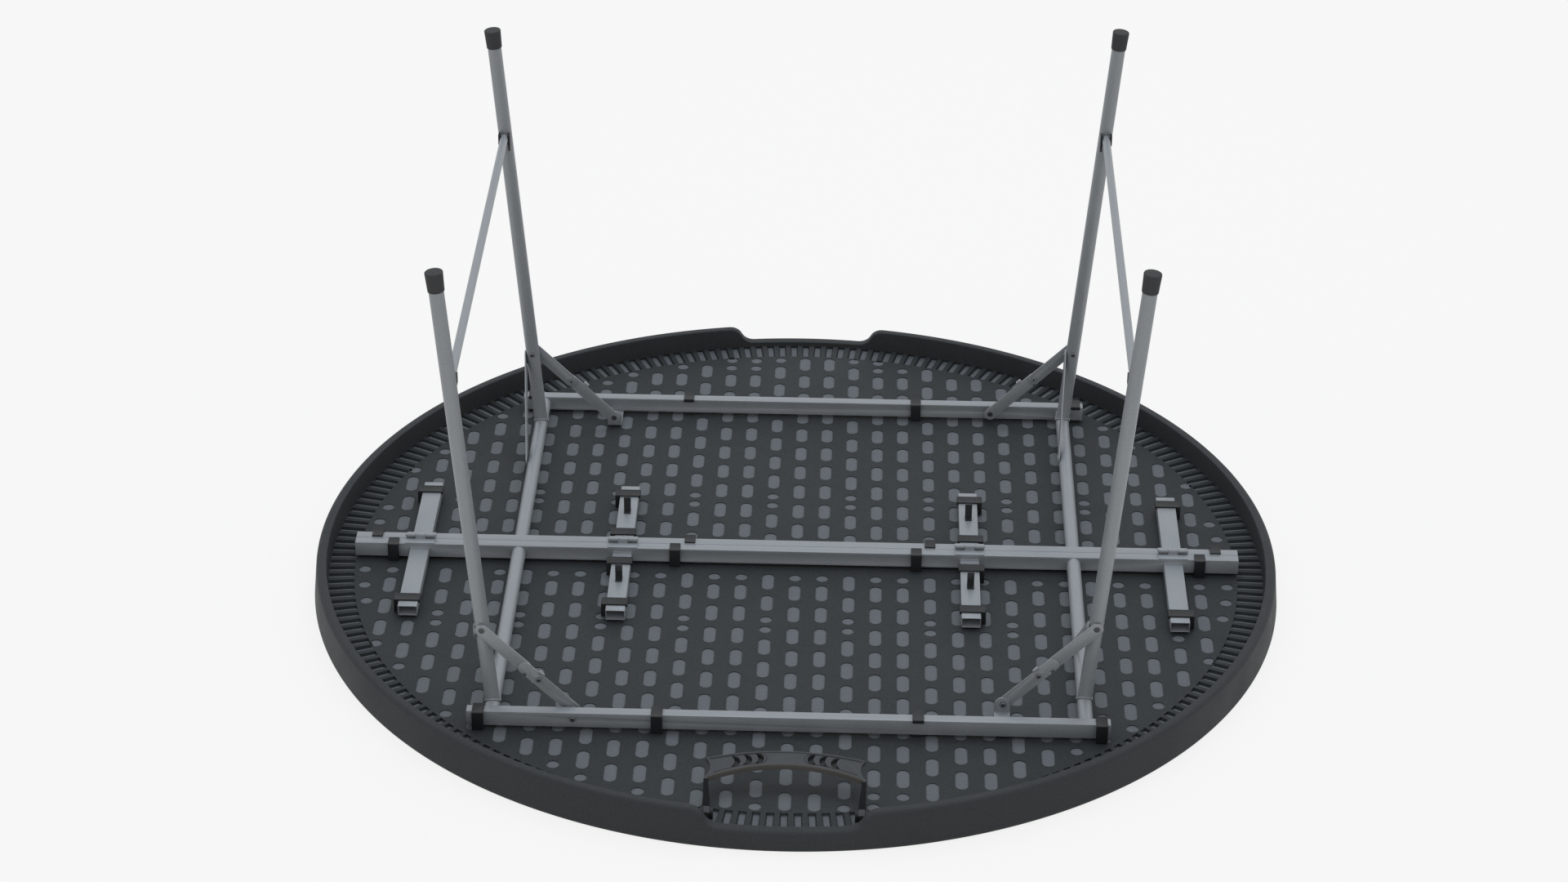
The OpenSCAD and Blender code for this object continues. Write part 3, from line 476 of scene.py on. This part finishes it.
class TABLE_OT_stage(Operator):
    """Make the floor, the even light, the overhead light and the camera"""

    bl_idname = "round_table.stage"
    bl_label = "Stage"

    def execute(self, context):
        settings = context.scene.round_table.stage
        context.scene.view_settings.view_transform = "Standard"
        self.make_world(context, settings)
        self.make_floor(context, settings)
        self.make_lamps(context, settings)
        self.make_camera(context)
        return {"FINISHED"}

    def seen_rays(self, tree):
        """One where a ray comes from the camera, a gloss or a transmission."""
        rays = tree.nodes.new("ShaderNodeLightPath")
        first = tree.nodes.new("ShaderNodeMath")
        first.operation = "MAXIMUM"
        both = tree.nodes.new("ShaderNodeMath")
        both.operation = "MAXIMUM"
        tree.links.new(rays.outputs["Is Camera Ray"], first.inputs[0])
        tree.links.new(rays.outputs["Is Glossy Ray"], first.inputs[1])
        tree.links.new(first.outputs[0], both.inputs[0])
        tree.links.new(rays.outputs["Is Transmission Ray"], both.inputs[1])
        return both.outputs[0]

    def make_world(self, context, settings):
        world = bpy.data.worlds.new("even_light")
        context.scene.world = world
        world.use_nodes = True
        tree = world.node_tree
        tree.nodes.clear()
        link = tree.links.new
        output = tree.nodes.new("ShaderNodeOutputWorld")
        mix = tree.nodes.new("ShaderNodeMixShader")
        light = node(tree, "ShaderNodeBackground", Strength=settings.sky)
        seen = node(tree, "ShaderNodeBackground", Color=(*settings.backdrop, 1.0), Strength=1.0)
        place = tree.nodes.new("ShaderNodeTexCoord")
        split = tree.nodes.new("ShaderNodeSeparateXYZ")
        ramp = tree.nodes.new("ShaderNodeValToRGB")
        low, high = ramp.color_ramp.elements
        low.position, low.color = 0.0, LOW_LIGHT
        high.position, high.color = 0.7, HIGH_LIGHT
        link(place.outputs["Generated"], split.inputs["Vector"])
        link(split.outputs["Z"], ramp.inputs["Fac"])
        link(ramp.outputs["Color"], light.inputs["Color"])
        link(self.seen_rays(tree), mix.inputs["Fac"])
        link(light.outputs["Background"], mix.inputs[1])
        link(seen.outputs["Background"], mix.inputs[2])
        link(mix.outputs["Shader"], output.inputs["Surface"])

    def make_floor(self, context, settings):
        build = bmesh.new()
        bmesh.ops.create_grid(build, x_segments=1, y_segments=1, size=FLOOR_SIZE)
        bmesh.ops.translate(build, verts=build.verts, vec=(0, 0, -FLOOR_DROP))
        mesh = bpy.data.meshes.new("floor")
        build.to_mesh(mesh)
        build.free()
        floor = bpy.data.objects.new("floor", mesh)
        context.scene.collection.objects.link(floor)
        material = bpy.data.materials.new("pale_floor")
        material.use_nodes = True
        tree = material.node_tree
        tree.nodes.clear()
        link = tree.links.new
        output = tree.nodes.new("ShaderNodeOutputMaterial")
        matt = node(tree, "ShaderNodeBsdfDiffuse", Color=(*settings.floor, 1.0))
        glow = node(tree, "ShaderNodeEmission", Color=(*settings.floor_glow, 1.0), Strength=1.0)
        share = tree.nodes.new("ShaderNodeMath")
        share.operation = "MULTIPLY"
        share.inputs[1].default_value = FLOOR_SHARE
        mix = tree.nodes.new("ShaderNodeMixShader")
        link(self.seen_rays(tree), share.inputs[0])
        link(share.outputs[0], mix.inputs["Fac"])
        link(matt.outputs["BSDF"], mix.inputs[1])
        link(glow.outputs["Emission"], mix.inputs[2])
        link(mix.outputs["Shader"], output.inputs["Surface"])
        mesh.materials.append(material)

    def make_lamps(self, context, settings):
        lamp = bpy.data.lights.new("overhead", "AREA")
        lamp.shape = "DISK"
        lamp.size = LAMP_SIZE
        lamp.energy = settings.key_power
        lamp.color = LAMP_COLOUR
        obj = bpy.data.objects.new("overhead", lamp)
        obj.location = LAMP_AT
        obj.rotation_euler = (-math.atan2(LAMP_AT[1], LAMP_AT[2]), 0, 0)
        context.scene.collection.objects.link(obj)

    def make_camera(self, context):
        azimuth, elevation, roll = (math.radians(a) for a in CAMERA_TURN)
        back = Vector((
            math.sin(azimuth) * math.cos(elevation),
            -math.cos(azimuth) * math.cos(elevation),
            math.sin(elevation),
        ))
        right = (-back).cross(Vector((0, 0, 1))).normalized()
        up = right.cross(-back)
        turned_right = math.cos(roll) * right + math.sin(roll) * up
        turned_up = -math.sin(roll) * right + math.cos(roll) * up
        camera = bpy.data.cameras.new("camera")
        camera.sensor_width = CAMERA_SENSOR
        camera.lens = CAMERA_LENS
        camera.clip_end = 100.0
        obj = bpy.data.objects.new("camera", camera)
        turn = Matrix((turned_right, turned_up, back)).transposed().to_4x4()
        obj.matrix_world = Matrix.Translation(Vector(CAMERA_TARGET) + CAMERA_DISTANCE * back) @ turn
        context.scene.collection.objects.link(obj)
        context.scene.camera = obj


class TABLE_OT_tabletop(Operator):
    """Make the moulded halves of the top and finish the deck and the inner sheet"""

    bl_idname = "round_table.tabletop"
    bl_label = "Tabletop"

    def rim_top(self, t, x):
        """Height of the rim at x: full, at the notch floor, or on the S curve of two arcs between them."""
        across = abs(x) - t.notch_half
        drop = t.rim_height - t.notch_floor
        bend = (t.shoulder**2 + drop**2) / (4 * drop)
        if across <= 0:
            return t.notch_floor
        if across >= t.shoulder:
            return t.rim_height
        if across < t.shoulder / 2:
            return t.notch_floor + bend - math.sqrt(bend**2 - across**2)
        return t.rim_height - bend + math.sqrt(bend**2 - (t.shoulder - across) ** 2)

    def lean(self, t):
        """Lean of the rim's outer side."""
        return math.atan2(t.flare, t.rim_height - 2 * t.outer_round)

    def section(self, t):
        """Points of the top's section, counter-clockwise."""
        inner = t.radius - t.rim_width
        out, low = t.outer_round, t.inner_round
        lean = math.degrees(self.lean(t))
        return [
            (0.0, 0.0),
            *arc(t.radius + t.flare - out, out, out, -90, lean, 8),
            *arc(t.radius - out, t.rim_height - out, out, lean, 90, 10),
            *arc(inner + low, t.rim_height - low, low, 90, 180, 5),
            (inner, t.face),
            (0.0, t.face),
        ]

    def half_top(self, t, half):
        build = bmesh.new()
        verts = [build.verts.new((r, 0, z)) for r, z in self.section(t)]
        face = build.faces.new(verts)
        bmesh.ops.spin(
            build, geom=[face], cent=(0, 0, 0), axis=(0, 0, 1), dvec=(0, 0, 0),
            angle=math.pi, steps=t.steps, use_merge=False, use_duplicate=False,
        )
        bmesh.ops.remove_doubles(build, verts=build.verts, dist=WELD)
        inner = t.radius - t.rim_width
        for v in build.verts:
            if v.co.z > t.rim_height / 2:
                drop = t.rim_height - self.rim_top(t, v.co.x)
                radius = math.hypot(v.co.x, v.co.y)
                if radius > t.radius - t.outer_round - WELD:
                    out = 1 + drop * math.tan(self.lean(t)) / radius
                    v.co.x, v.co.y = v.co.x * out, v.co.y * out
                v.co.z -= drop
            v.co.y = max(v.co.y, t.seam)
        self.ease_seam(t, build)
        wall = bmesh.ops.create_cube(build, size=1.0)["verts"]
        bmesh.ops.scale(build, vec=(2 * inner, t.wall, t.wall_top - t.face), verts=wall)
        bmesh.ops.translate(
            build, vec=(0, t.seam + t.wall / 2, (t.wall_top + t.face) / 2), verts=wall
        )
        if half < 0:
            bmesh.ops.scale(build, vec=(1, -1, 1), verts=build.verts)
        bmesh.ops.recalc_face_normals(build, faces=build.faces)
        return build

    def ease_seam(self, t, build):
        """Bevels the rim's edges along the fold line, so that the seam reads as a fine groove."""
        rim = [
            e for e in build.edges
            if all(abs(v.co.y - t.seam) < WELD and v.co.z > t.face + WELD for v in e.verts)
            and len(e.link_faces) == 2
        ]
        bevel(build, rim, t.seam_round, 1)

    def slot_sides(self, t, half):
        """Leaning sides of the deck's slots, one wedge along each long side."""
        build = bmesh.new()
        for i in range(t.slots):
            turn = Matrix.Rotation(half * math.pi * (i + 0.5) / t.slots, 4, "Z")
            for side in (-1, 1):
                wall = side * t.slot_width / 2
                corners = (
                    (wall, t.deck_top - SLOT_SINK),
                    (wall, t.slot_floor),
                    (wall - side * t.slot_draft, t.slot_floor),
                )
                ends = [
                    [build.verts.new(turn @ Vector((r, y, z))) for y, z in corners]
                    for r in (t.slot_start, t.slot_end)
                ]
                build.faces.new(ends[0])
                build.faces.new(reversed(ends[1]))
                for k in range(3):
                    build.faces.new((ends[0][k], ends[0][(k + 1) % 3], ends[1][(k + 1) % 3], ends[1][k]))
        bmesh.ops.recalc_face_normals(build, faces=build.faces)
        return build

    def execute(self, context):
        t = context.scene.round_table.top
        for name, half in HALVES.items():
            piece(f"{name}_slot_sides", self.slot_sides(t, half), "deck", f"{name}_half")
            piece(f"{name}_moulded_top", self.half_top(t, half), "shell", f"{name}_half", (f"{name}_top",))
            coat(f"{name}_deck", "deck")
            coat(f"{name}_inner_sheet", "pocket")
        return {"FINISHED"}


class TABLE_OT_frame(Operator):
    """Round and finish the rails, channels, clips, hooks, brackets and hinges"""

    bl_idname = "round_table.frame"
    bl_label = "Frame"

    def execute(self, context):
        for name in HALVES:
            ease_node(f"{name}_outer_rail", "steel", 0.0014)
            ease_node(f"{name}_center_rail", "steel", 0.0014)
            ease_node(f"{name}_channels", "steel", 0.00035)
            ease_node(f"{name}_rail_clips", "clip", 0.0012, 3, panel=0.0020, panel_depth=0.0007)
            ease_node(f"{name}_center_clips", "clip", 0.0012, 3, panel=0.0020, panel_depth=0.0007)
            ease_node(f"{name}_channel_clips", "clip", 0.0012, 3, panel=0.0024, panel_depth=0.0008)
            ease_node(f"{name}_latch_hooks", "clip", 0.0006)
            ease_node(f"{name}_hinge_leaves", "steel", 0.0003)
            ease_node(f"{name}_brace_bracket", "steel", 0.0004)
        for name, half in HALVES.items():
            self.channel_welds(name, half)
        coat("hinge_pins", "steel")
        return {"FINISHED"}

    def channel_welds(self, name, half):
        """Beads where the channels meet the centre rail."""
        build = bmesh.new()
        for x in CHANNEL_X:
            for side in (-1, 1):
                edge = x + side * (CHANNEL_WIDTH / 2 + WELD_LIFT)
                path = [Vector((edge, half * CHANNEL_Y, z)) for z in (CHANNEL_Z[0] + 0.002, CHANNEL_Z[1])]
                bead(build, path, WELD_BEAD)
            top = CHANNEL_Z[1] + WELD_LIFT
            path = [Vector((x + share * CHANNEL_WIDTH / 2, half * CHANNEL_Y, top)) for share in (-1, 0, 1)]
            bead(build, path, WELD_BEAD)
        bmesh.ops.recalc_face_normals(build, faces=build.faces)
        piece(f"{name}_channel_welds", build, "steel", f"{name}_half")


class TABLE_OT_legs(Operator):
    """Finish the legs, cross tubes, foot caps and gussets"""

    bl_idname = "round_table.legs"
    bl_label = "Legs"

    def execute(self, context):
        for leg in LEGS:
            coat(f"leg_{leg}", "steel")
            coat(f"cross_tube_{leg}", "steel")
            ease_node(f"foot_cap_{leg}", "cap", 0.0009, 3)
            ease_node(f"gusset_{leg}", "steel", 0.0004)
            self.leg_weld(leg)
        return {"FINISHED"}

    def leg_weld(self, leg):
        """Bead round the saddle where a leg stands on its cross tube."""
        side, half, away, _ = LEGS[leg]
        pivot = Matrix.Translation((side * PIVOT_X, half * away, PIVOT_Z))
        turn = pivot @ Matrix.Rotation(side * LEAN, 4, "Y")
        wider = 1 + LEG_WELD_SPREAD / TUBE_RADIUS
        path = []
        for i in range(LEG_WELD_STEPS):
            a = math.tau * i / LEG_WELD_STEPS
            across, along = TUBE_RADIUS * math.cos(a), TUBE_RADIUS * math.sin(a)
            height = math.sqrt(max(0.0, TUBE_RADIUS**2 - across**2))
            path.append(turn @ Vector((across * wider, along * wider, height + LEG_WELD_LIFT)))
        build = bmesh.new()
        bead(build, path, WELD_BEAD, closed=True)
        bmesh.ops.recalc_face_normals(build, faces=build.faces)
        piece(f"leg_weld_{leg}", build, "steel", f"leg_assembly_{leg}")


class TABLE_OT_braces(Operator):
    """Finish the folding braces"""

    bl_idname = "round_table.braces"
    bl_label = "Braces"

    def execute(self, context):
        for leg in LEGS:
            ease_node(f"brace_upper_{leg}", "steel", 0.0004)
            ease_node(f"brace_lower_{leg}", "steel", 0.0004)
            self.rivets(leg)
        return {"FINISHED"}

    def rivets(self, leg):
        """Dark rivet heads over the plain ones of the braces."""
        side, half, away, has_bracket = LEGS[leg]
        upper_face = away + TUBE_RADIUS + LINK_STANDOFF
        lower_face = upper_face + LINK + LINK_GAP
        outside = lower_face + LINK
        pin_end = outside + LINK_GAP + BRACKET if has_bracket else RAIL_FAR_SIDE
        leg_x, leg_z = LEG_RIVET
        knee_x, knee_z = KNEE
        mid_x, mid_z = MID_RIVET
        foot_x, foot_z = BRACE_FOOT
        upper = bmesh.new()
        add_domes(upper, [
            (side * leg_x, half * (away - TUBE_RADIUS - LINK_GAP), leg_z, -half, HEAD_RADIUS, HEAD),
            (side * leg_x, half * (upper_face + LINK), leg_z, half, HEAD_RADIUS, FLUSH_HEAD),
            (side * knee_x, half * upper_face, knee_z, -half, HEAD_RADIUS, KNEE_HEAD),
        ])
        piece(f"upper_rivets_{leg}", upper, "rivet", f"upper_link_{leg}")
        lower = bmesh.new()
        add_domes(lower, [
            (side * mid_x, half * outside, mid_z, half, HEAD_RADIUS, MID_HEAD),
            (side * foot_x, half * lower_face, foot_z, -half, FLUSH_FOOT_RADIUS, FLUSH_HEAD),
            (side * foot_x, half * (pin_end + LINK_GAP), foot_z, half, HEAD_RADIUS, HEAD),
        ])
        piece(f"lower_rivets_{leg}", lower, "rivet", f"lower_link_{leg}")


class TABLE_OT_stretchers(Operator):
    """Finish the stretchers with their clips and hooks"""

    bl_idname = "round_table.stretchers"
    bl_label = "Stretchers"

    def execute(self, context):
        for side in ("left", "right"):
            coat(f"stretcher_{side}", "steel")
            ease_node(f"stretcher_clip_{side}", "clip", 0.0006)
            ease_node(f"stretcher_hook_{side}", "clip", 0.0006)
        return {"FINISHED"}


class TABLE_OT_handle(Operator):
    """Finish the carry handle"""

    bl_idname = "round_table.handle"
    bl_label = "Handle"

    def execute(self, context):
        ease_node("handle", "handle", 0.0009)
        ease_node("handle_brackets", "clip", 0.0006)
        coat("handle_pins", "steel")
        turn = Matrix.Translation(HANDLE_PIVOT) @ Matrix.Rotation(HANDLE_TILT, 4, "X")
        self.arm_sleeves(turn)
        self.ridge(turn)
        self.near_edge(turn)
        self.vent_shade_floors(turn)
        return {"FINISHED"}

    def arm_sleeves(self, turn):
        """Black ribbed sleeves over the two arms, made of slices that are wide and narrow by turns."""
        build = bmesh.new()
        for side in (-1, 1):
            for i in range(int(SLEEVE_LENGTH / SLEEVE_PITCH)):
                middle = SLEEVE_START + (i + 0.5) * SLEEVE_PITCH
                proud = SLEEVE_RIB if i % 2 else SLEEVE_GROOVE
                share = middle / ARM_LENGTH
                inner, outer = (foot + share * gain for foot, gain in (SLEEVE_INNER, SLEEVE_OUTER))
                box = (outer - inner + 2 * proud, SLEEVE_PITCH, 2 * (HANDLE_FACE + proud))
                verts = bmesh.ops.create_cube(build, size=1.0)["verts"]
                bmesh.ops.scale(build, vec=box, verts=verts)
                bmesh.ops.translate(build, vec=(side * (inner + outer) / 2, middle, 0), verts=verts)
        transformed(build, turn)
        piece("handle_arm_sleeves", build, "sleeve", "carry_handle")

    def ridge(self, turn):
        """Raised ridge along the grip's far edge, with a fine black line round the vents in front of it that
        paints the shade of a groove.
        """
        build = bmesh.new()
        path = [
            turn @ Vector((x, grip_arc(GRIP_FAR, x) - RIDGE_INSET, HANDLE_FACE - RIDGE_SINK))
            for x in (RIDGE_REACH * (i / 20 - 1) for i in range(41))
        ]
        bead(build, path, RIDGE_BEAD)
        bmesh.ops.recalc_face_normals(build, faces=build.faces)
        piece("handle_ridge", build, "handle", "carry_handle")
        # Painted shade: the fine line is black moulding that stands for the dark wall of a groove round the
        # vents.
        lines = bmesh.new()
        for side in (-1, 1):
            inward = [LINE_END - LINE_STEP * i for i in range(13)]
            outward = [LINE_START + LINE_STEP * i for i in range(12)]
            far = [(x, grip_arc(GRIP_FAR, x) - LINE_FAR) for x in inward]
            near = [(x, grip_arc(GRIP_NEAR, x) + LINE_NEAR) for x in outward]
            middle = (far[-1][1] + near[0][1]) / 2
            depth = (far[-1][1] - near[0][1]) / 2
            turned = [
                (LINE_START - LINE_BULGE * depth * math.sin(a), middle + depth * math.cos(a))
                for a in (math.pi * i / 10 for i in range(1, 10))
            ]
            path = [turn @ Vector((side * x, y, HANDLE_FACE)) for x, y in far + turned + near]
            bead(lines, path, LINE_BEAD, sides=6)
        bmesh.ops.recalc_face_normals(lines, faces=lines.faces)
        piece("handle_lines", lines, "clip", "carry_handle")

    def swept(self, places, section):
        """A closed strip: section gives the ring of points at each place."""
        build = bmesh.new()
        rings = [[build.verts.new(point) for point in section(place)] for place in places]
        count = len(rings[0])
        for one, two in zip(rings, rings[1:]):
            for k in range(count):
                build.faces.new((one[k], one[(k + 1) % count], two[(k + 1) % count], two[k]))
        build.faces.new(rings[0])
        build.faces.new(reversed(rings[-1]))
        bmesh.ops.recalc_face_normals(build, faces=build.faces)
        return build

    def near_edge(self, turn):
        """Rounded strip along the grip's near edge, in a lighter, warmer colour that paints the bounce light
        it catches from the front and below.
        """
        def section(x):
            y = grip_arc(GRIP_NEAR, x)
            return [turn @ Vector((x, y + dy, z)) for dy, z in NEAR_EDGE]

        build = self.swept([NEAR_EDGE_REACH * (i / 24 - 1) for i in range(49)], section)
        piece("handle_near_edge", build, "edge", "carry_handle", crease=50.0)

    def vent_shade_floors(self, turn):
        """Black floors inside the crescent vents: a dark sheet that paints the deep shade in them."""
        def section(x):
            near, far = grip_arc(GRIP_NEAR, x) + VENT_INSET, grip_arc(GRIP_FAR, x) - VENT_INSET
            corners = ((near, VENT_BOTTOM), (far, VENT_BOTTOM), (far, VENT_TOP), (near, VENT_TOP))
            return [turn @ Vector((x, y, z)) for y, z in corners]

        # Painted shade: black plates sunk in the open vents so that they read dark.
        for name, side in (("left", -1), ("right", 1)):
            build = self.swept([side * (VENT_START + VENT_STEP * i) for i in range(12)], section)
            piece(f"handle_vent_floor_{name}", build, "clip", "carry_handle")


class TABLE_PT_panel(Panel):
    """Steps that dress the table"""

    bl_label = "Round table"
    bl_idname = "TABLE_PT_panel"
    bl_space_type = "VIEW_3D"
    bl_region_type = "UI"
    bl_category = "Round table"

    def draw(self, context):
        for step in STEPS:
            self.layout.operator(step.bl_idname)
        settings = context.scene.round_table
        for group in (settings.top, settings.finish, settings.stage):
            box = self.layout.box()
            for key in group.__annotations__:
                box.prop(group, key)


STEPS = (
    TABLE_OT_stage,
    TABLE_OT_tabletop,
    TABLE_OT_frame,
    TABLE_OT_legs,
    TABLE_OT_braces,
    TABLE_OT_stretchers,
    TABLE_OT_handle,
)
CLASSES = (TopSettings, FinishSettings, StageSettings, RoundTableSettings, *STEPS, TABLE_PT_panel)


def register():
    for cls in CLASSES:
        bpy.utils.register_class(cls)
    bpy.types.Scene.round_table = PointerProperty(type=RoundTableSettings)


def unregister():
    del bpy.types.Scene.round_table
    for cls in reversed(CLASSES):
        bpy.utils.unregister_class(cls)


def main():
    register()
    bpy.ops.round_table.stage()
    bpy.ops.round_table.tabletop()
    bpy.ops.round_table.frame()
    bpy.ops.round_table.legs()
    bpy.ops.round_table.braces()
    bpy.ops.round_table.stretchers()
    bpy.ops.round_table.handle()


if __name__ == "__main__":
    main()
